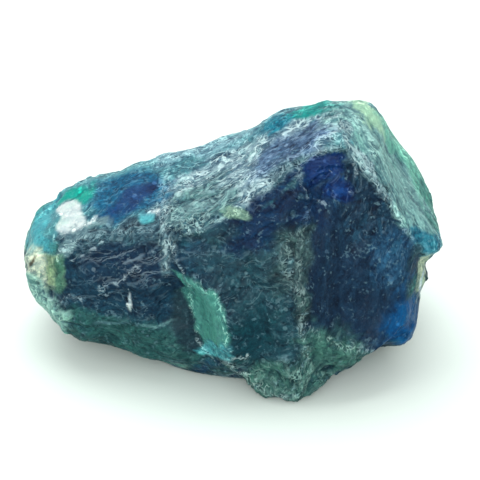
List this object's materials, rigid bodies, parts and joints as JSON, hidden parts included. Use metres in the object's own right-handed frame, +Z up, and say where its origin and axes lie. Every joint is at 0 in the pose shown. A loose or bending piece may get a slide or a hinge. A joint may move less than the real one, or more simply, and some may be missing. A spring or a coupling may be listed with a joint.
{
  "type": "afghanite specimen",
  "caption": "Rough hand specimen of blue-green afghanite: one chunky broken crystal mass with a narrow lobe at one end and a tall, keeled mass at the other.",
  "frame": {"origin": "on the surface the stone lies on, under the middle of its bounding box", "axes": "+X along the stone towards its tall end, +Y towards its back, +Z up"},
  "size_m": [0.0294, 0.0184, 0.0182],
  "materials": {
    "afghanite": "rough broken crystal, waxy gloss, navy to teal with pale green and whitish fibres"
  },
  "bodies": {
    "root": {"stone": "afghanite"}
  },
  "joints": []
}
